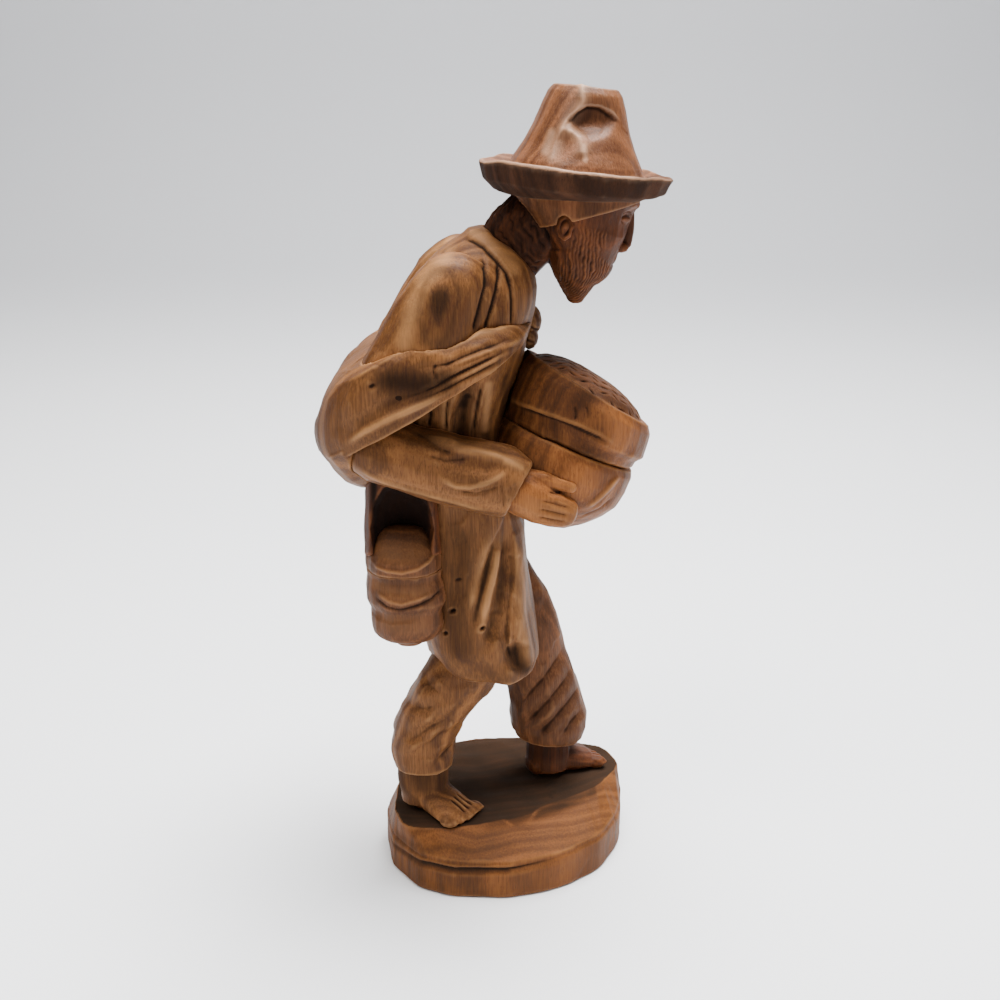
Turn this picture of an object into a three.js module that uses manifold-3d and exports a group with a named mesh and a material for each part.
// Carved wooden figurine: a bearded man in a brimmed hat walks with a shawl, a satchel and a round basket.
// Millimetres. +X is the way he walks, +Y is his left, +Z is up, and the origin is under the middle of the base.
// Each piece is the form that the carver left between the cut lines, less the neighbours that it is seated on.

import * as THREE from "three";
import { mergeVertices } from "three/addons/utils/BufferGeometryUtils.js";
import Module from "manifold-3d";

const wasm = await Module();
wasm.setup();

// Fits
const CLEARANCE = 0.3;
const FINEST_EDGE = 0.03;
const PEG_DIAMETER = 6;
const PEG_DEPTH = 9;

// Base
const BASE_LENGTH = 82;
const BASE_WIDTH = 67;
const PLINTH_HEIGHT = 12;
const GROUND_HEIGHT = 20;
const STEP_INSET = 1;

// Feet and legs
const FOOT_LENGTH = 26;
const FOOT_WIDTH = 14;
const INSTEP_HEIGHT = 11;
const TOE_DIAMETER = 3.8;
const ANKLE_DIAMETER = 15;
const RIGHT_TOE_OUT = -38;
const LEFT_TOE_OUT = 26;
const CUFF_HEIGHT = 16;
const RIGHT_CUFF_X = -25;
const LEFT_CUFF_X = 16.5;
const CUFF_DIAMETER = 20;
const RIGHT_HIP_X = -9;
const LEFT_HIP_X = 6;
const HIP_SPREAD = 19;
const STANCE_WIDTH = 20;
const LEG_FOLD_DEPTH = 0.7;

// Tunic
const HEM_HEIGHT = 49.5;
const WAIST_HEIGHT = 106;
const CHEST_HEIGHT = 158;
const SHOULDER_HEIGHT = 176;
const HEM_WIDTH = 42;
const WAIST_WIDTH = 40;
const CHEST_WIDTH = 48;
const FLUTE_DEPTH = 1.8;

// Arms
const SLEEVE_WIDTH = 19.5;
const UPPER_SLEEVE_DEPTH = 25;
const FOREARM_DEPTH = 20.5;
const CUFF_DEPTH = 18.5;
const ARM_SPREAD = 43.5;
const ELBOW_X = -36;
const WRIST_X = 5.5;
const HAND_LENGTH = 17;
const HAND_DEPTH = 12;
const HAND_THICKNESS = 10;
const THUMB_DIAMETER = 4.6;

// Shawl and its knot
const SHAWL_SPREAD = 68;
const SHAWL_REACH = 70.5;
const SHAWL_SLOPE = 31;
const SHAWL_DEPTH = 18;
const SHAWL_LOOP_DROP = 20.5;
const KNOT_HEIGHT = 12.5;
const KNOT_WIDTH = 10;
const KNOT_THICKNESS = 6.5;

// Satchel
const SATCHEL_LENGTH = 24;
const SATCHEL_THICKNESS = 22;
const SATCHEL_DROP = 43;
const SATCHEL_BODY_HEIGHT = 26;
const SATCHEL_STRAP_HEIGHT = 28;
const SATCHEL_X = -28.7;
const SATCHEL_Y = -15;
const TIER_STEP = 1.3;
const FLAP_HEIGHT = 13;

// Basket
const BASKET_DIAMETER = 48;
const BOWL_DEPTH = 26.3;
const COLLAR_HEIGHT = 17.3;
const COLLAR_LIP = 1.6;
const MOUTH_DIAMETER = 37;
const HEAP_RISE = 4.6;
const BOWL_TILT = 24;
const MOUTH_TILT = 8;
const BASKET_LEAN = 7;
const BASKET_REACH = 19.4;
const BASKET_LIFT = 17.3;

// Head and neck
const HEAD_HEIGHT = 43;
const HEAD_DEPTH = 36.5;
const HEAD_WIDTH = 29;
const HEAD_TILT = 18;
const HEAD_X = 21.3;
const NECK_LENGTH = 17.5;
const NECK_DIAMETER = 19;
const BEARD_LENGTH = 6;
const BAND_THICKNESS = 1.1;
const BAND_RISE = 13.5;
const BAND_EDGE = 4.75;

// Hat
const BRIM_DIAMETER = 55;
const BRIM_DEPTH = 8;
const CROWN_FOOT_DIAMETER = 36.6;
const CROWN_TOP_DIAMETER = 20.5;
const CROWN_HEIGHT = 22.4;
const HAT_TILT = 6;
const SEAT_TILT = 2;
const SEAT_DEPTH = 6.2;
const PINCH_LENGTH = 22;
const PINCH_HEIGHT = 10;
const PINCH_X = 6.5;
const PINCH_REACH = 2.3;
const HAT_TENON_DIAMETER = 18;
const HAT_TENON_LENGTH = 13;

// Levels that the sizes lead to
const HEM = GROUND_HEIGHT + HEM_HEIGHT;
const WAIST = GROUND_HEIGHT + WAIST_HEIGHT;
const CHEST = GROUND_HEIGHT + CHEST_HEIGHT;
const SHOULDER = GROUND_HEIGHT + SHOULDER_HEIGHT;
const CUFF = GROUND_HEIGHT + CUFF_HEIGHT;
const RIGHT = -1;
const LEFT = 1;

const rad = THREE.MathUtils.degToRad;
const X_AXIS = new THREE.Vector3(1, 0, 0);
const Y_AXIS = new THREE.Vector3(0, 1, 0);
const Z_AXIS = new THREE.Vector3(0, 0, 1);

// A closed skin over rings that all have the same number of points, with a flat fan on each end.
function skin(rings) {
  const sides = rings[0].length;
  const centre = (ring) => ring.reduce((sum, p) => sum.add(p), new THREE.Vector3()).divideScalar(sides);
  const points = [...rings.flat(), centre(rings[0]), centre(rings.at(-1))];
  const first = rings.length * sides;
  const faces = [];
  for (let i = 0; i < sides; i++) {
    const j = (i + 1) % sides;
    for (let r = 0; r < rings.length - 1; r++) {
      const a = r * sides;
      const b = a + sides;
      faces.push([a + i, a + j, b + j], [a + i, b + j, b + i]);
    }
    faces.push([first, j, i], [first + 1, first - sides + i, first - sides + j]);
  }
  const volume = faces.reduce((sum, [a, b, c]) => sum + points[a].dot(points[b].clone().cross(points[c])), 0);
  const outward = volume > 0 ? faces : faces.map(([a, b, c]) => [a, c, b]);
  const geometry = new THREE.BufferGeometry().setFromPoints(points);
  return geometry.setIndex(outward.flat());
}

// The closed solid of a three.js geometry, placed by a matrix.
function solid(geometry, matrix = new THREE.Matrix4()) {
  const bare = new THREE.BufferGeometry();
  bare.setAttribute("position", geometry.getAttribute("position").clone());
  bare.setIndex(geometry.getIndex());
  const merged = mergeVertices(bare.applyMatrix4(matrix), 1e-4);
  const vertProperties = merged.getAttribute("position").array;
  const triVerts = new Uint32Array(merged.getIndex().array);
  return new wasm.Manifold(new wasm.Mesh({ numProp: 3, vertProperties, triVerts }));
}

const join = (...solids) => solids.reduce((sum, next) => sum.add(next));
const less = (body, ...cutters) => cutters.reduce((rest, cutter) => rest.subtract(cutter), body);

// The main body of a cut piece, without the offcuts that its neighbours part from it.
const mainBody = (body) => body.decompose().reduce((most, next) => (next.volume() > most.volume() ? next : most));

// The mesh of a body, with the two ends of each edge that is too short to cut drawn together.
function cleanMesh(body) {
  const { vertProperties, triVerts, numProp } = body.simplify(FINEST_EDGE).getMesh();
  const points = Array.from({ length: vertProperties.length / numProp }, (_, k) =>
    new THREE.Vector3(...vertProperties.subarray(k * numProp, k * numProp + 3)));
  const owner = points.map((_, k) => k);
  const ownerOf = (k) => (owner[k] === k ? k : ownerOf(owner[k]));
  const faces = Array.from({ length: triVerts.length / 3 }, (_, k) => [...triVerts.subarray(3 * k, 3 * k + 3)]);
  faces.forEach((face) => face.forEach((a, k) => {
    const b = face[(k + 1) % 3];
    if (points[a].distanceTo(points[b]) < FINEST_EDGE) owner[ownerOf(a)] = ownerOf(b);
  }));
  const kept = faces.map((face) => face.map(ownerOf)).filter((face) => new Set(face).size === 3);
  return new THREE.BufferGeometry().setFromPoints(points).setIndex(kept.flat());
}

// A smooth curve through rows of numbers, read at t from 0 to 1.
function smooth(rows) {
  const row = (k) => rows[THREE.MathUtils.clamp(k, 0, rows.length - 1)];
  return (t) => {
    const place = t * (rows.length - 1);
    const i = Math.min(Math.floor(place), rows.length - 2);
    const f = place - i;
    return rows[0].map((_, c) => {
      const [p, q, r, s] = [row(i - 1)[c], row(i)[c], row(i + 1)[c], row(i + 2)[c]];
      const bend = f * (2 * p - 5 * q + 4 * r - s) + f * f * (3 * q - p - 3 * r + s);
      return q + 0.5 * f * (r - p + bend);
    });
  };
}

// A rounded ring of points: halves a and b along u and v, squarer as the power grows.
function ringOf({ centre, u, v, a, b, power = 2.2 }, sides, scale = 1) {
  return Array.from({ length: sides }, (_, k) => {
    const angle = (2 * Math.PI * k) / sides;
    const part = (value) => Math.sign(value) * Math.abs(value) ** (2 / power);
    const p = centre.clone().addScaledVector(u, a * scale * part(Math.cos(angle)));
    return p.addScaledVector(v, b * scale * part(Math.sin(angle)));
  });
}

const DOME_ANGLES = [72, 38];

// A loft along sections, with a dome of its own height, or a flat cut, on each end.
// fold(p) is how deep the surface is drawn in at a point, and grow thickens the whole form evenly.
function loft(sectionAt, { rings = 12, sides = 28, domes = [0, 0], fold = null, grow = 0 }) {
  const wide = (t) => {
    const section = sectionAt(t);
    return { ...section, a: section.a + grow, b: section.b + grow };
  };
  const made = [];
  const shifted = (section, along, scale) => {
    const centre = section.centre.clone().addScaledVector(section.w, along);
    return ringOf({ ...section, centre }, sides, scale);
  };
  const endRings = (section, way, dome) => {
    if (dome === 0) return [shifted(section, way * grow, 1)];
    return DOME_ANGLES.map((angle) => {
      const along = way * (dome + grow) * Math.sin(rad(angle));
      return shifted(section, along, Math.cos(rad(angle)));
    });
  };
  made.push(...endRings(wide(0), -1, domes[0]));
  const inner = domes[0] === 0 ? 1 : 0;
  const last = domes[1] === 0 ? rings - 1 : rings;
  for (let r = inner; r <= last; r++) {
    const section = wide(r / rings);
    made.push(ringOf(section, sides));
  }
  made.push(...endRings(wide(1), 1, domes[1]).reverse());
  if (!fold) return solid(skin(made));
  const before = domes[0] === 0 ? 0 : DOME_ANGLES.length;
  made.forEach((ring, r) => {
    const share = THREE.MathUtils.clamp((r - before) / rings, 0, 1);
    const axis = sectionAt(share).centre;
    ring.forEach((p) => {
      const inward = axis.clone().sub(p).normalize();
      p.addScaledVector(inward, fold(p));
    });
  });
  return solid(skin(made));
}

// A form in level slices. Each row holds the height, the back, the front, the half width and the sideways place.
// The frame says where height 0 is and which ways are forward and up.
function stack(rows, options = {}) {
  const { origin = new THREE.Vector3(), tilt = 0, power = 2.2 } = options;
  const u = X_AXIS.clone().applyAxisAngle(Y_AXIS, rad(tilt));
  const w = Z_AXIS.clone().applyAxisAngle(Y_AXIS, rad(tilt));
  const read = smooth(rows);
  const sectionAt = (t) => {
    const [height, back, front, half, side = 0] = read(t);
    const centre = origin.clone().addScaledVector(w, height);
    centre.addScaledVector(u, (back + front) / 2).addScaledVector(Y_AXIS, side);
    return { centre, u, v: Y_AXIS, w, a: (front - back) / 2, b: half, power };
  };
  return loft(sectionAt, options);
}

// A form along a bent spine. Each row holds x, y, z, the half depth in the upright plane and the half width.
function limb(rows, options = {}) {
  const read = smooth(rows);
  const place = (t) => new THREE.Vector3(...read(THREE.MathUtils.clamp(t, 0, 1)).slice(0, 3));
  const sectionAt = (t) => {
    const [, , , a, b] = read(t);
    const w = place(t + 0.01).sub(place(t - 0.01)).normalize();
    const v = Y_AXIS.clone().addScaledVector(w, -Y_AXIS.dot(w)).normalize();
    return { centre: place(t), u: v.clone().cross(w), v, w, a, b, power: options.power };
  };
  return loft(sectionAt, options);
}

// An egg of three diameters at a place.
function egg([x, y, z], [length, width, height], grow = 0, sides = 12) {
  const size = new THREE.Vector3(length, width, height).multiplyScalar(0.5).addScalar(grow);
  const matrix = new THREE.Matrix4().makeScale(size.x, size.y, size.z).setPosition(x, y, z);
  return solid(new THREE.SphereGeometry(1, sides, Math.round(sides * 0.55)), matrix);
}

// A round peg from one point to another.
function peg(from, to, diameter, grow = 0) {
  const along = to.clone().sub(from);
  const turn = new THREE.Quaternion().setFromUnitVectors(Y_AXIS, along.clone().normalize());
  const middle = from.clone().add(to).multiplyScalar(0.5);
  const matrix = new THREE.Matrix4().compose(middle, turn, new THREE.Vector3(1, 1, 1));
  const radius = diameter / 2 + grow;
  return solid(new THREE.CylinderGeometry(radius, radius, along.length() + 2 * grow, 12), matrix);
}

// A block that holds everything on one side of a plane, to trim a form with.
function beyond(place, normal) {
  const size = 400;
  const turn = new THREE.Quaternion().setFromUnitVectors(Z_AXIS, normal.clone().normalize());
  const centre = place.clone().addScaledVector(normal.clone().normalize(), size / 2);
  const matrix = new THREE.Matrix4().compose(centre, turn, new THREE.Vector3(1, 1, 1));
  return solid(new THREE.BoxGeometry(size, size, size), matrix);
}

const point = (x, y = 0, z = 0) => new THREE.Vector3(x, y, z);

// Base: an irregular octagon with a plinth wall, a step line and a rim that slopes to the ground he walks on.
// Each corner is given as a share of half the length and half the width.
const PLINTH_CORNERS = [
  [0.95, -0.12], [1, 0.5], [0.84, 0.9], [0.1, 1], [-0.42, 0.93], [-0.85, 0.55],
  [-0.98, 0], [-0.9, -0.5], [-0.66, -0.86], [-0.4, -0.98], [0.06, -1], [0.42, -0.86], [0.76, -0.56],
];
const GROUND_CORNERS = [
  [0.8, 0.05], [0.98, 0.42], [0.86, 0.78], [0.12, 0.97], [-0.38, 0.9], [-0.78, 0.52],
  [-0.88, 0.02], [-0.88, -0.42], [-0.78, -0.72], [-0.46, -0.74], [-0.04, -0.6], [0.3, -0.36], [0.58, -0.14],
];

function outlineRing(corners, height, inset) {
  const half = [BASE_LENGTH / 2 - inset, BASE_WIDTH / 2 - inset];
  const points = corners.map(([x, y]) => new THREE.Vector3(x * half[0] + 1.5, y * half[1] + 2.3, height));
  const softness = 0.22;
  return points.flatMap((p, k) => {
    const before = points.at(k - 1);
    const after = points[(k + 1) % points.length];
    const start = p.clone().lerp(before, softness);
    const end = p.clone().lerp(after, softness);
    const middle = start.clone().add(end).multiplyScalar(0.25).addScaledVector(p, 0.5);
    return [start, middle, end];
  });
}

const footPlace = (side) => point(side === RIGHT ? RIGHT_CUFF_X : LEFT_CUFF_X, legY(side), GROUND_HEIGHT);
const legY = (side) => (side * STANCE_WIDTH) / 2 + 2;

function footForm(side, grow = 0) {
  const ankle = footPlace(side);
  const heading = rad(side === RIGHT ? RIGHT_TOE_OUT : LEFT_TOE_OUT);
  const turn = new THREE.Matrix4().makeRotationZ(heading).setPosition(ankle);
  const heel = -0.3 * FOOT_LENGTH;
  const at = (share) => heel + share * FOOT_LENGTH;
  const high = INSTEP_HEIGHT / 2;
  const wide = FOOT_WIDTH / 2;
  const rows = [
    [at(0.1), 0, 0.75 * high, 0.72 * high, 0.62 * wide],
    [at(0.3), 0, high, 0.98 * high, 0.8 * wide],
    [at(0.5), 0, 0.85 * high, 0.85 * high, 0.88 * wide],
    [at(0.72), 0, 0.58 * high, 0.6 * high, wide],
    [at(0.88), 0, 0.42 * high, 0.44 * high, 0.98 * wide],
  ];
  const sole = limb(rows, { rings: 6, sides: 14, domes: [2.6, 1.2], grow }).transform(turn.toArray());
  const toes = [-2, -1, 0, 1, 2].map((k) => {
    const size = TOE_DIAMETER * (1 + 0.1 * k * side * -1);
    const place = point(at(0.92) - 0.35 * Math.abs(k), (k * (FOOT_WIDTH - TOE_DIAMETER)) / 4, size / 2);
    place.applyMatrix4(turn);
    return egg(place.toArray(), [2 * size, size * 0.95, size], grow, 8);
  });
  const shinRows = [
    [ankle.x, ankle.y, GROUND_HEIGHT + 0.5 * high, ANKLE_DIAMETER / 2, ANKLE_DIAMETER / 2 - 0.8],
    [ankle.x, ankle.y, CUFF - 4, ANKLE_DIAMETER / 2 - 0.3, ANKLE_DIAMETER / 2 - 1],
    [ankle.x, ankle.y, CUFF + 3, ANKLE_DIAMETER / 2 - 0.5, ANKLE_DIAMETER / 2 - 1.2],
  ];
  const shin = limb(shinRows, { rings: 2, sides: 14, grow });
  const ground = beyond(point(0, 0, GROUND_HEIGHT + CLEARANCE - grow), point(0, 0, -1));
  const body = less(join(sole, shin, ...toes), ground);
  const pegFoot = point(ankle.x, ankle.y, GROUND_HEIGHT - PEG_DEPTH);
  const pegTop = point(ankle.x, ankle.y, CUFF + 3 + PEG_DEPTH);
  return join(body, peg(pegFoot, pegTop, PEG_DIAMETER, grow));
}

// Trouser legs, with slack folds that wind down to the cuff.
function legForm(side, grow = 0) {
  const cuffX = side === RIGHT ? RIGHT_CUFF_X : LEFT_CUFF_X;
  const hipX = side === RIGHT ? RIGHT_HIP_X : LEFT_HIP_X;
  const hipY = (side * HIP_SPREAD) / 2 + 1;
  const cuffY = legY(side);
  const half = CUFF_DIAMETER / 2;
  const at = (share) => CUFF + share * (HEM - CUFF);
  const rows = side === RIGHT
    ? [
      [cuffX + 0.2, cuffY, CUFF, half - 0.6, half - 1.2],
      [cuffX, cuffY, at(0.24), half + 0.6, half - 0.4],
      [cuffX + 2, cuffY - 0.3, at(0.45), half + 0.4, half - 0.5],
      [cuffX + 5.4, cuffY - 0.8, at(0.66), half + 0.2, half - 0.2],
      [hipX - 5.6, hipY, at(0.88), half + 1, half - 1],
      [hipX - 0.5, hipY + 0.5, at(1.14), half + 1, half - 2.5],
      [hipX + 1, hipY + 0.5, at(1.5), half + 1, half - 2],
    ]
    : [
      [cuffX - 0.4, cuffY, CUFF - 1.2, half + 0.8, half - 0.6],
      [cuffX, cuffY, at(0.1), half + 3, half],
      [cuffX - 0.9, cuffY - 0.2, at(0.32), half + 2.8, half + 0.3],
      [cuffX - 3.2, cuffY - 0.5, at(0.64), half + 1.6, half + 0.3],
      [hipX + 3, hipY + 0.5, at(1), half + 1.2, half - 0.3],
      [hipX - 1, hipY, at(1.4), half + 0.8, half - 1.5],
      [hipX - 9, hipY - 1, at(1.95), half - 1.5, half - 2],
    ];
  const pitch = side === RIGHT ? 8.5 : 7.2;
  const lean = side === RIGHT ? -0.6 : -1.1;
  const fold = (p) => {
    const run = (p.z - CUFF) + lean * (p.x - cuffX) + 0.5 * side * (p.y - cuffY);
    const foot = THREE.MathUtils.smoothstep(p.z, CUFF + 1, CUFF + 7);
    const thigh = THREE.MathUtils.smoothstep(p.z, HEM, HEM + 6);
    return foot * (1 - thigh) * LEG_FOLD_DEPTH * 0.5 * (1 - Math.cos((2 * Math.PI * run) / pitch));
  };
  return limb(rows, { rings: 13, sides: 18, domes: [0, 3], fold, grow });
}

// A groove on the near side of the tunic, from one point to another in the upright plane.
function groove(p, [x1, z1], [x2, z2], width, depth) {
  const share = (z1 - p.z) / (z1 - z2);
  const line = THREE.MathUtils.lerp(x1, x2, share);
  const fade = THREE.MathUtils.smoothstep(share, -0.08, 0.2) * (1 - THREE.MathUtils.smoothstep(share, 0.85, 1.08));
  return depth * fade * Math.exp(-(((p.x - line) / width) ** 2));
}

function tunicFolds(p) {
  const skirt = groove(p, [-1.5, WAIST - 4], [-8, HEM + 22], 1.7, FLUTE_DEPTH)
    + groove(p, [1.3, WAIST - 6], [0.5, HEM + 17], 1.9, FLUTE_DEPTH * 1.1)
    + groove(p, [5, HEM + 20], [4.5, HEM + 6], 3, FLUTE_DEPTH * 0.9);
  const chest = groove(p, [-8.5, CHEST - 10], [-11.5, WAIST + 18], 3.2, FLUTE_DEPTH)
    + groove(p, [-19, CHEST - 14], [-19.5, WAIST + 20], 2, FLUTE_DEPTH * 0.6);
  return Math.abs(p.y) > 8 ? skirt + chest : 0;
}

// Tunic: trunk and skirt in one, leaning forward from the waist.
function tunicForm(grow = 0) {
  const hem = HEM_WIDTH / 2;
  const waist = WAIST_WIDTH / 2;
  const chest = CHEST_WIDTH / 2;
  const rows = [
    [HEM, -20.8, 11.2, hem - 0.8],
    [HEM + 6, -22.8, 12.4, hem],
    [HEM + 15, -24.8, 11.4, hem],
    [HEM + 27, -25.5, 9.3, hem - 0.4],
    [HEM + 38, -26, 8, hem - 0.7],
    [WAIST - 9, -27, 7.3, waist],
    [WAIST + 3, -28, 3.8, waist],
    [WAIST + 18, -30, 1, waist + 0.6],
    [CHEST - 22, -32, 2.4, chest - 2],
    [CHEST - 10, -33, 6.5, chest - 0.6],
    [CHEST, -32, 8.8, chest],
    [CHEST + 8, -29.2, 10.3, chest],
    [SHOULDER - 2, -23.5, 10.4, chest - 2.5],
    [SHOULDER + 4.5, -16.5, 7, chest - 8],
    [SHOULDER + 8.5, -10.5, 1.5, chest - 14],
  ];
  const form = stack(rows, { rings: 17, sides: 28, domes: [0, 2], power: 2.4, fold: tunicFolds, grow });
  const scoop = egg([5.5, -HEM_WIDTH / 2 - 0.5, HEM + 9], [9, 7, 14]);
  return grow ? form : less(form, scoop);
}

const sleeveY = (side) => (side * ARM_SPREAD) / 2;

function upperSleeveForm(side, grow = 0) {
  const y = sleeveY(side);
  const deep = UPPER_SLEEVE_DEPTH / 2;
  const wide = SLEEVE_WIDTH / 2;
  const rows = [
    [ELBOW_X + 6.5, y, CHEST - 13, deep - 1.5, wide],
    [ELBOW_X + 10, y, CHEST - 8, deep - 0.6, wide],
    [-21.5, y, CHEST - 2, deep, wide],
    [-16.5, y - side * 0.4, CHEST + 7.5, deep - 0.4, wide],
    [-12, y - side * 2, CHEST + 15, deep - 2.4, wide - 0.6],
    [-9.6, y - side * 5, CHEST + 19, deep - 5, wide - 2.4],
  ];
  return limb(rows, { rings: 6, sides: 16, domes: [2, 2], grow });
}

function forearmForm(side, grow = 0) {
  const y = sleeveY(side);
  const deep = FOREARM_DEPTH / 2;
  const wide = SLEEVE_WIDTH / 2;
  const rows = [
    [ELBOW_X, y, WAIST + 20.6, deep - 1, wide - 0.2],
    [ELBOW_X + 8, y, WAIST + 18.6, deep - 0.6, wide - 0.1],
    [ELBOW_X + 17, y, WAIST + 15.6, deep - 0.2, wide],
    [WRIST_X - 15.5, y - side * 0.4, WAIST + 13.4, deep + 0.3, wide],
    [WRIST_X - 5.5, y + side * 0.6, WAIST + 11.4, deep + 0.6, wide - 1.2],
    [WRIST_X, y + side * 1.2, WAIST + 8.8, CUFF_DEPTH / 2, wide - 2.2],
  ];
  return limb(rows, { rings: 6, sides: 16, domes: [7, 0], grow });
}

// Hand: a flat palm with the fingers together, laid on the basket, and a thumb above.
function handForm(side, grow = 0) {
  const y = sleeveY(side) + side * 2.2;
  const deep = HAND_DEPTH / 2;
  const wide = HAND_THICKNESS / 2;
  const tip = WRIST_X + HAND_LENGTH;
  const palm = limb([
    [WRIST_X - 7, y, WAIST + 12, deep - 0.5, wide - 1],
    [WRIST_X, y, WAIST + 8.5, deep + 0.6, wide],
    [WRIST_X + 6, y, WAIST + 5, deep, wide],
    [tip - 4.5, y, WAIST + 2.4, deep - 1.4, wide - 0.8],
    [tip - 2, y, WAIST + 1.6, deep - 2.4, wide - 1.6],
  ], { rings: 6, sides: 14, domes: [1, 1.6], power: 2.6, grow });
  const thick = THUMB_DIAMETER / 2;
  const thumb = limb([
    [WRIST_X, y, WAIST + 12.5, thick + 0.6, thick + 0.8],
    [WRIST_X + 7, y, WAIST + 12, thick, thick + 0.2],
    [tip - 2, y, WAIST + 9.6, thick * 0.7, thick * 0.8],
  ], { rings: 4, sides: 10, domes: [1, 1.4], grow });
  return join(palm, thumb);
}

// Shawl: a broad band behind both elbows, drawn to the chest, with a slack loop low on the back.
// Its rows lie in the plane that slopes up to the knot.
function shawlForm(grow = 0) {
  const half = SHAWL_SPREAD / 2;
  const origin = point(8, 0, CHEST - 1);
  const lift = (share) => share * SHAWL_DEPTH;
  const band = stack([
    [0, -SHAWL_REACH, 0.5, half - 1],
    [lift(0.17), -SHAWL_REACH, 3.4, half],
    [lift(0.33), -0.985 * SHAWL_REACH, 1.4, half],
    [lift(0.5), -0.957 * SHAWL_REACH, -2, half],
    [lift(0.67), -0.915 * SHAWL_REACH, -7, half],
    [lift(0.84), -0.858 * SHAWL_REACH, -13, half - 0.4],
    [lift(1), -0.78 * SHAWL_REACH, -21, half - 1.6],
  ], { origin, tilt: -SHAWL_SLOPE, power: 2.9, rings: 7, sides: 26, domes: [0, 2.2], grow });
  const loop = stack([
    [-SHAWL_LOOP_DROP + 3, -0.908 * SHAWL_REACH, -0.71 * SHAWL_REACH, half * 0.45, 3],
    [-0.6 * SHAWL_LOOP_DROP, -0.979 * SHAWL_REACH, -0.667 * SHAWL_REACH, half * 0.65, 2],
    [-0.25 * SHAWL_LOOP_DROP, -SHAWL_REACH, -0.652 * SHAWL_REACH, half * 0.78, 1],
    [2, -0.993 * SHAWL_REACH, -0.624 * SHAWL_REACH, half * 0.88, 0],
  ], { origin, tilt: -SHAWL_SLOPE, rings: 4, sides: 18, domes: [3, 1], grow });
  return join(band, loop);
}

const knotForm = (grow = 0) => join(
  egg([9, 0, CHEST + 1.5], [KNOT_THICKNESS, KNOT_WIDTH, KNOT_HEIGHT * 0.72], grow),
  egg([8.6, -0.6, CHEST - 3.2], [KNOT_THICKNESS * 0.8, KNOT_WIDTH * 0.8, KNOT_HEIGHT * 0.6], grow),
);

// Satchel: a round-bottomed bag in tiers, open at the top between two strap sides.
const satchelBottom = WAIST - SATCHEL_DROP;
const satchelTop = satchelBottom + SATCHEL_BODY_HEIGHT;

function satchelForm(grow = 0) {
  const long = SATCHEL_LENGTH / 2;
  const thick = SATCHEL_THICKNESS / 2;
  const row = (height, shrink, drift = 0) => [
    height, SATCHEL_X - long + shrink + drift, SATCHEL_X + long - shrink + drift, thick - shrink * 0.8, SATCHEL_Y,
  ];
  const rows = [
    row(satchelBottom + 1.5, 5.5, 0.6),
    row(satchelBottom + 4, 2.2, 0.3),
    row(satchelBottom + 9, 0.2, 0.9),
    row(satchelBottom + 16, -0.4, 0.8),
    row(satchelTop, 0, 0.2),
  ];
  const tierHeight = (SATCHEL_BODY_HEIGHT - 4) / 2;
  const fold = (p) => {
    const below = (satchelTop - 1 - p.z) / tierHeight;
    if (below < 0 || below > 2.2) return 0;
    const phase = below - Math.floor(below);
    return TIER_STEP * Math.max(0, 1 - phase * 1.6) * (below > 1 && below < 2.2 ? 1 : 0.75);
  };
  return stack(rows, { rings: 11, sides: 20, domes: [1.5, 0], fold, grow });
}

function flapForm(grow = 0) {
  const long = SATCHEL_LENGTH / 2;
  const thick = SATCHEL_THICKNESS / 2;
  const row = (share, shrink, recess) => {
    const height = satchelTop - 0.5 + share * FLAP_HEIGHT;
    return [height, SATCHEL_X - long + shrink, SATCHEL_X + long - shrink, thick - recess, SATCHEL_Y];
  };
  return stack([
    row(0, 0.4, -0.8),
    row(0.3, 0.5, -0.7),
    row(0.55, 1.6, 1),
    row(0.85, 4.5, 4.4),
  ], { rings: 6, sides: 20, domes: [0, 1.4], grow });
}

// Strap: both sides and the back of the sling that the bag hangs in, dark and hollow towards the viewer.
function strapForm(grow = 0) {
  const long = SATCHEL_LENGTH / 2;
  const thick = SATCHEL_THICKNESS / 2;
  const row = (height, shrink) => [
    satchelTop + height, SATCHEL_X - long + shrink, SATCHEL_X + long - shrink, thick - shrink, SATCHEL_Y,
  ];
  const sling = stack([
    row(FLAP_HEIGHT * 0.3, 0.1),
    row(SATCHEL_STRAP_HEIGHT * 0.5, 0.4),
    row(SATCHEL_STRAP_HEIGHT, 1.4),
  ], { rings: 4, sides: 20, grow });
  const hollow = egg(
    [SATCHEL_X, SATCHEL_Y - SATCHEL_THICKNESS / 2, satchelTop + FLAP_HEIGHT],
    [SATCHEL_LENGTH * 0.88, SATCHEL_THICKNESS, SATCHEL_STRAP_HEIGHT + 4],
    -grow,
  );
  return less(sling, hollow);
}

// Basket: a turned bowl, a collar that overhangs it and a heap in its mouth. The mouth tilts more than the bowl.
const upright = new THREE.Matrix4().makeRotationX(Math.PI / 2);
const tilted = (place, tilt) => new THREE.Matrix4()
  .makeTranslation(place)
  .multiply(new THREE.Matrix4().makeRotationY(rad(tilt)))
  .multiply(new THREE.Matrix4().makeRotationX(rad(-BASKET_LEAN)));
const bowlPoint = point(BASKET_REACH, 0, WAIST + BASKET_LIFT);
const bowlPlace = tilted(bowlPoint, BOWL_TILT);
const mouthTilt = BOWL_TILT + MOUTH_TILT;
const mouthPoint = point(0, 0, COLLAR_HEIGHT).applyAxisAngle(Y_AXIS, rad(BOWL_TILT)).add(bowlPoint);
const basketRadius = BASKET_DIAMETER / 2;

function turned(profile, place, sides = 26) {
  const points = profile.map(([radius, height]) => new THREE.Vector2(Math.max(radius, 0), height));
  return solid(new THREE.LatheGeometry(points, sides), place.clone().multiply(upright));
}

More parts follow.
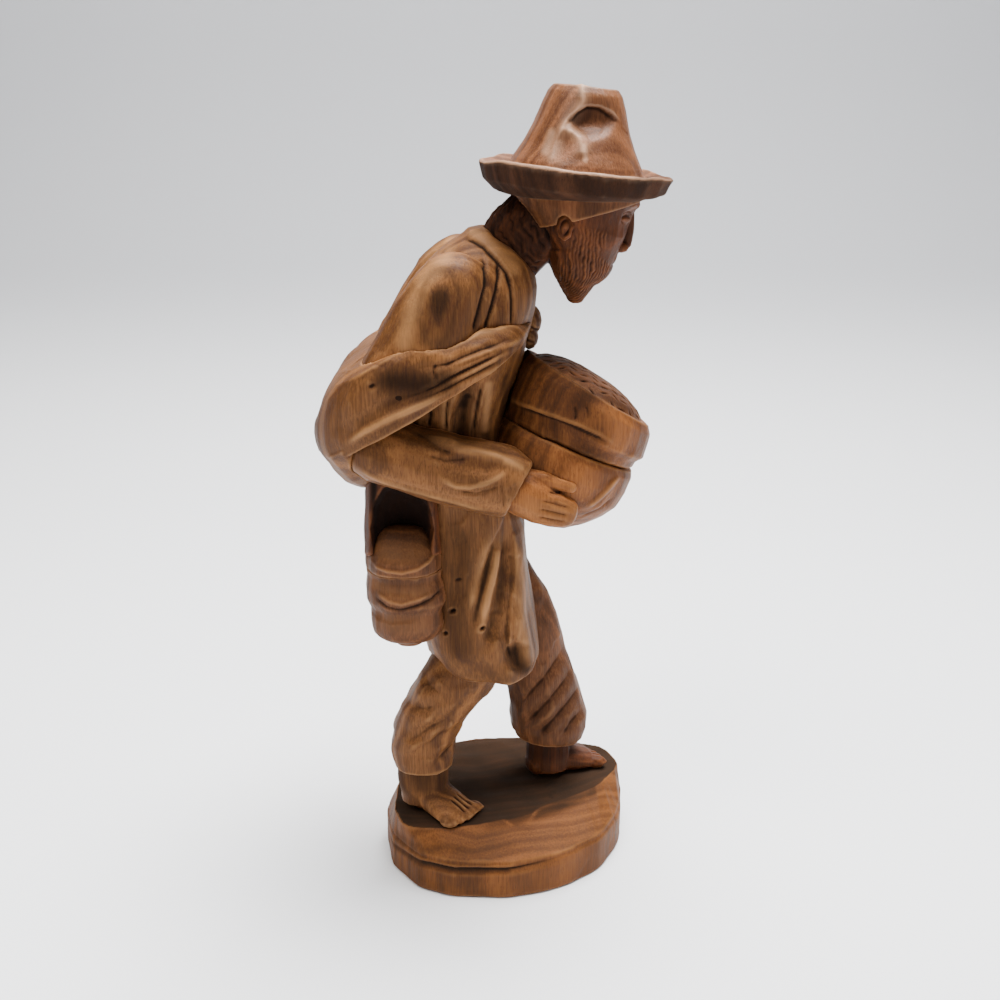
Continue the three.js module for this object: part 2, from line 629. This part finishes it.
const bowlForm = (grow = 0) => turned([
  [0, -BOWL_DEPTH - grow],
  [basketRadius * 0.26, -BOWL_DEPTH + 0.2 - grow],
  [basketRadius * 0.51 + grow, -BOWL_DEPTH * 0.91 - grow],
  [basketRadius * 0.67 + grow, -BOWL_DEPTH * 0.79 - grow],
  [basketRadius * 0.85 + grow, -BOWL_DEPTH * 0.61 - grow],
  [basketRadius * 0.95 + grow, -BOWL_DEPTH * 0.46],
  [basketRadius * 0.98 + grow, -BOWL_DEPTH * 0.28],
  [basketRadius * 0.97 + grow, -BOWL_DEPTH * 0.09],
  [basketRadius - COLLAR_LIP + grow, -CLEARANCE / 2 + grow],
  [0, -CLEARANCE / 2 + grow],
], bowlPlace);

// The rings of a form that stands on the bowl and turns by degrees from the bowl's plane to the mouth's.
function basketRings(profile, sides = 26) {
  return profile.map(([share, radius, above]) => {
    const tilt = THREE.MathUtils.lerp(BOWL_TILT, mouthTilt, share);
    const place = tilted(bowlPoint.clone().lerp(mouthPoint, share), tilt);
    return Array.from({ length: sides }, (_, k) => {
      const angle = (2 * Math.PI * k) / sides;
      return point(radius * Math.cos(angle), radius * Math.sin(angle), above).applyMatrix4(place);
    });
  });
}

const collarOuter = (grow = 0) => solid(skin(basketRings([
  [0, basketRadius - COLLAR_LIP + grow, CLEARANCE / 2 - grow],
  [0.06, basketRadius - 0.7 + grow, -grow],
  [0.2, basketRadius - 0.7 + grow, 0],
  [0.34, basketRadius + 0.6 + grow, 0],
  [0.6, basketRadius - 0.2 + grow, 0],
  [0.85, basketRadius - 1 + grow, 0],
  [1, basketRadius - 2.6 + grow, grow],
])));

function heapForm(grow = 0) {
  const radius = MOUTH_DIAMETER / 2;
  return solid(skin(basketRings([
    [0, radius + grow, CLEARANCE / 2 - grow * 3],
    [1, radius + grow, grow],
    [1, radius * 0.86, HEAP_RISE * 0.42 + grow],
    [1, radius * 0.62, HEAP_RISE * 0.76 + grow],
    [1, radius * 0.32, HEAP_RISE * 0.95 + grow],
    [1, radius * 0.05, HEAP_RISE + grow],
  ])));
}

const collarForm = (grow = 0) => (grow ? collarOuter(grow) : less(collarOuter(), heapForm(CLEARANCE)));

// Head: the skull, a face on plain proportions, a thick neck that reaches forward and a pointed beard.
const headHalf = HEAD_HEIGHT / 2;
const headPlace = point(HEAD_X, 0, SHOULDER + NECK_LENGTH);
const headUp = Z_AXIS.clone().applyAxisAngle(Y_AXIS, rad(HEAD_TILT));
const headFront = X_AXIS.clone().applyAxisAngle(Y_AXIS, rad(HEAD_TILT));
const hatPlace = headPlace.clone().add(point(0.2, 0, BRIM_DEPTH + 0.5));
const seatUp = Z_AXIS.clone().applyAxisAngle(Y_AXIS, rad(SEAT_TILT));
const hatUp = Z_AXIS.clone().applyAxisAngle(Y_AXIS, rad(HAT_TILT));
const seatPoint = (below) => hatPlace.clone().addScaledVector(seatUp, -SEAT_DEPTH - below);

// A point of the face: how far forward, to the left and up from the middle of the head.
const facePoint = (forward, side, up) => headPlace.clone()
  .addScaledVector(headFront, forward)
  .addScaledVector(Y_AXIS, side)
  .addScaledVector(headUp, up);

function faceFold(p) {
  const local = p.clone().sub(headPlace);
  const front = local.dot(headFront);
  const up = local.dot(headUp);
  if (front < 5) return 0;
  const eye = HEAD_WIDTH / 5;
  const spot = (side, height, wide, tall) => {
    const across = (Math.abs(p.y) - side) / wide;
    const along = (up - height) / tall;
    return Math.exp(-(across ** 2) - along ** 2);
  };
  const sockets = 1.7 * spot(eye, 0.3, 2.7, 2.2);
  const cheeks = -0.9 * spot(eye * 1.35, -5.5, 3, 3);
  const brow = -0.8 * spot(eye * 0.8, 4.2, 4.5, 1.5);
  const mouth = 0.9 * spot(0, -13.4, 3.6, 0.9) - 0.8 * spot(0, -11.8, 3.2, 0.9) - 0.7 * spot(0, -14.9, 2.6, 0.9);
  return sockets + cheeks + brow + mouth;
}

function skullForm(grow = 0, top = 12) {
  const front = HEAD_DEPTH * 0.47;
  const back = -HEAD_DEPTH * 0.53;
  const half = HEAD_WIDTH / 2;
  const rows = [
    [-headHalf + 1, 4, front - 4.2, half * 0.36],
    [-headHalf + 4, -1, front - 1.8, half * 0.6],
    [-headHalf + 9, -6, front - 0.9, half * 0.78],
    [-headHalf + 14, back + 7, front - 0.6, half * 0.9],
    [-2, back + 2.2, front - 0.4, half * 0.97],
    [5, back + 0.3, front, half],
    [top, back, front - 0.2, half],
  ];
  return stack(rows, {
    origin: headPlace, tilt: HEAD_TILT, rings: 12, sides: 26, domes: [1.5, 0], power: 2.1, fold: faceFold, grow,
  });
}

function headForm(grow = 0) {
  const neck = NECK_DIAMETER / 2;
  const top = headPlace;
  const neckRows = [
    [-1.5, 0, SHOULDER - 4, neck - 0.5, neck - 1],
    [3.5, 0, SHOULDER + 4.5, neck + 0.8, neck - 0.5],
    [8, 0, SHOULDER + 9.5, neck + 1.4, neck - 0.3],
    [top.x - 6, 0, top.z - 3.5, neck + 0.5, neck],
  ];
  const throat = limb(neckRows, { rings: 4, sides: 14, grow });
  const tenonRoot = point(1, 0, SHOULDER);
  const tenonEnd = point(-4, 0, SHOULDER - 4 - PEG_DEPTH);
  const tenon = peg(tenonRoot, tenonEnd, NECK_DIAMETER * 0.6, grow);
  const chin = facePoint(HEAD_DEPTH * 0.2, 0, -headHalf);
  const beardRows = [
    [chin.x, 0, chin.z + 10.5, 8.8, HEAD_WIDTH * 0.4],
    [chin.x + 0.6, 0, chin.z + 5, 7.6, HEAD_WIDTH * 0.37],
    [chin.x + 0.6, 0, chin.z, 5.4, HEAD_WIDTH * 0.26],
    [chin.x + 0.4, 0, chin.z - BEARD_LENGTH + 1.5, 2.4, HEAD_WIDTH * 0.1],
  ];
  const beard = limb(beardRows, { rings: 4, sides: 14, domes: [2, 1.5], grow });
  const tip = facePoint(HEAD_DEPTH * 0.47 + 1.8, 0, -6.8);
  const root = facePoint(HEAD_DEPTH * 0.47 - 1.2, 0, 2.4);
  const bridge = limb([
    [root.x - 0.4, 0, root.z, 1.4, 1.1],
    [(root.x + tip.x) / 2 - 0.8, 0, (root.z + tip.z) / 2, 2, 1.3],
    [tip.x - 1.8, 0, tip.z + 0.4, 2.3, 1.9],
  ], { rings: 4, sides: 10, domes: [1, 1.4], grow });
  const wings = [RIGHT, LEFT].map((side) => {
    const wing = facePoint(HEAD_DEPTH * 0.47 - 0.4, side * HEAD_WIDTH / 13, -7.9);
    return egg(wing.toArray(), [4.2, 2.7, 2.9], grow, 8);
  });
  const nose = join(bridge, ...wings);
  const ears = [RIGHT, LEFT].map((side) => {
    const ear = facePoint(-1.5, side * (HEAD_WIDTH / 2 - 0.6), -6.5);
    return egg(ear.toArray(), [4.6, 3, 7.5], grow, 8);
  });
  const seat = seatPoint(CLEARANCE - grow);
  const body = less(join(skullForm(grow), throat, beard, nose, ...ears), beyond(seat, seatUp));
  const hatTenonTop = hatPlace.clone().addScaledVector(hatUp, HAT_TENON_LENGTH - BRIM_DEPTH);
  const hatTenon = peg(seat.clone().addScaledVector(hatUp, -3), hatTenonTop, HAT_TENON_DIAMETER, grow);
  return join(body, tenon, hatTenon);
}

// Headband: the kerchief's edge below the hat, which rises towards the forehead.
function headbandForm() {
  const rise = Z_AXIS.clone().applyAxisAngle(Y_AXIS, rad(-BAND_RISE));
  const edge = headPlace.clone().add(point(-4, 0, -BAND_EDGE));
  return less(skullForm(BAND_THICKNESS), beyond(seatPoint(CLEARANCE), seatUp), beyond(edge, rise.negate()));
}

// Hat: a deep saucer brim and a tapering flat-topped crown, pinched on both sides.
function hatForm() {
  const brim = BRIM_DIAMETER / 2;
  const foot = CROWN_FOOT_DIAMETER / 2;
  const top = CROWN_TOP_DIAMETER / 2;
  const taper = (share) => THREE.MathUtils.lerp(foot, top, share);
  const profile = [
    [0, -BRIM_DEPTH],
    [brim * 0.69, -BRIM_DEPTH],
    [brim * 0.83, -BRIM_DEPTH + 0.9],
    [brim * 0.95, -BRIM_DEPTH * 0.55],
    [brim - 0.15, -0.9],
    [brim, -0.2],
    [brim - 0.5, 0.3],
    [brim * 0.9, -0.2],
    [foot + 3, -0.3],
    [foot + 0.6, 0.6],
    [foot, 2],
    [taper(0.3) - 0.3, CROWN_HEIGHT * 0.3],
    [taper(0.52) - 0.4, CROWN_HEIGHT * 0.5],
    [taper(0.8) - 0.2, CROWN_HEIGHT * 0.78],
    [top, CROWN_HEIGHT * 0.93],
    [top - 1.3, CROWN_HEIGHT],
    [0, CROWN_HEIGHT + 0.2],
  ];
  const hatTurn = new THREE.Matrix4().makeRotationY(rad(HAT_TILT));
  const body = turned(profile, new THREE.Matrix4().makeTranslation(hatPlace).multiply(hatTurn));
  const pinches = [RIGHT, LEFT].map((side) => {
    const pinch = hatPlace.clone().add(point(PINCH_X, side * (taper(0.7) + PINCH_REACH), CROWN_HEIGHT * 0.64));
    return egg(pinch.toArray(), [PINCH_LENGTH, 12, PINCH_HEIGHT]);
  });
  return less(body, beyond(seatPoint(0), seatUp.clone().negate()), ...pinches);
}

// The pieces, each less its seated neighbours
const sides = [RIGHT, LEFT];
const baseBlock = solid(skin([
  outlineRing(PLINTH_CORNERS, 0, 0.5),
  outlineRing(PLINTH_CORNERS, 0.6, 0),
  outlineRing(PLINTH_CORNERS, PLINTH_HEIGHT - 0.8, 0),
  outlineRing(PLINTH_CORNERS, PLINTH_HEIGHT, STEP_INSET),
  outlineRing(PLINTH_CORNERS, PLINTH_HEIGHT + 0.8, STEP_INSET * 0.5),
  outlineRing(GROUND_CORNERS, GROUND_HEIGHT, 0),
]));
const hatSolid = less(hatForm(), headForm(CLEARANCE));
const tunicGrown = tunicForm(CLEARANCE);
const rightLeg = legForm(RIGHT);
const bowl = less(bowlForm(), tunicGrown);
const bowlGrown = bowlForm(CLEARANCE);

const loadGrown = [bowlGrown, collarForm(CLEARANCE)];
const forearm = (side) => less(forearmForm(side), tunicGrown, ...loadGrown, handForm(side, CLEARANCE));
const upperSleeve = (side) => less(upperSleeveForm(side), tunicGrown, forearmForm(side, CLEARANCE));
const shawlCutters = sides.flatMap((side) => [upperSleeveForm(side, CLEARANCE), forearmForm(side, CLEARANCE)]);
const shawl = less(shawlForm(), tunicGrown, ...shawlCutters, headForm(CLEARANCE));
const knot = less(knotForm(), tunicGrown, shawlForm(CLEARANCE));
const collarSolid = less(collarForm(), tunicGrown, shawlForm(CLEARANCE), knotForm(CLEARANCE));
const heapSolid = less(heapForm(), tunicGrown, shawlForm(CLEARANCE), knotForm(CLEARANCE));
const rightArmGrown = [forearmForm(RIGHT, CLEARANCE), upperSleeveForm(RIGHT, CLEARANCE)];
const satchelCutters = [tunicGrown, ...rightArmGrown, shawlForm(CLEARANCE)];
const legsGrown = sides.map((side) => legForm(side, CLEARANCE));

// Finishes: one wood, polished on the hat and stained darker in head, ground and hollows
const woods = {
  tan: { color: 0x9c6b45, roughness: 0.5 },
  brown: { color: 0x7e4f30, roughness: 0.48 },
  orange: { color: 0xa8693a, roughness: 0.46 },
  dark: { color: 0x4a2a1b, roughness: 0.5 },
  polished: { color: 0x8a5233, roughness: 0.34 },
};

const figurine = new THREE.Group();

function addPiece(name, body, wood) {
  const geometry = cleanMesh(mainBody(body));
  geometry.computeVertexNormals();
  const mesh = new THREE.Mesh(geometry, new THREE.MeshStandardMaterial({ ...woods[wood], metalness: 0 }));
  mesh.name = name;
  figurine.add(mesh);
}

addPiece("base", less(baseBlock, ...sides.map((side) => footForm(side, CLEARANCE))), "orange");
addPiece("right_foot", footForm(RIGHT), "brown");
addPiece("left_foot", footForm(LEFT), "dark");
addPiece("right_trouser_leg", less(rightLeg, footForm(RIGHT, CLEARANCE)), "brown");
addPiece("left_trouser_leg", less(legForm(LEFT), footForm(LEFT, CLEARANCE), legsGrown[0]), "brown");
addPiece("tunic", less(tunicForm(), ...legsGrown, headForm(CLEARANCE)), "tan");
addPiece("satchel", less(satchelForm(), flapForm(CLEARANCE), ...satchelCutters), "brown");
addPiece("satchel_strap", less(strapForm(), flapForm(CLEARANCE), ...satchelCutters), "dark");
addPiece("satchel_flap", less(flapForm(), ...satchelCutters), "brown");
addPiece("shawl", shawl, "tan");
addPiece("shawl_knot", knot, "tan");
addPiece("right_upper_sleeve", upperSleeve(RIGHT), "tan");
addPiece("left_upper_sleeve", upperSleeve(LEFT), "tan");
addPiece("right_forearm_sleeve", forearm(RIGHT), "tan");
addPiece("left_forearm_sleeve", forearm(LEFT), "tan");
addPiece("right_hand", less(handForm(RIGHT), ...loadGrown), "orange");
addPiece("left_hand", less(handForm(LEFT), ...loadGrown), "orange");
addPiece("basket_bowl", bowl, "orange");
addPiece("basket_collar", collarSolid, "orange");
addPiece("basket_heap", heapSolid, "brown");
addPiece("head", headForm(), "dark");
addPiece("headband", less(headbandForm(), headForm(CLEARANCE)), "dark");
addPiece("hat", hatSolid, "polished");

export default figurine;
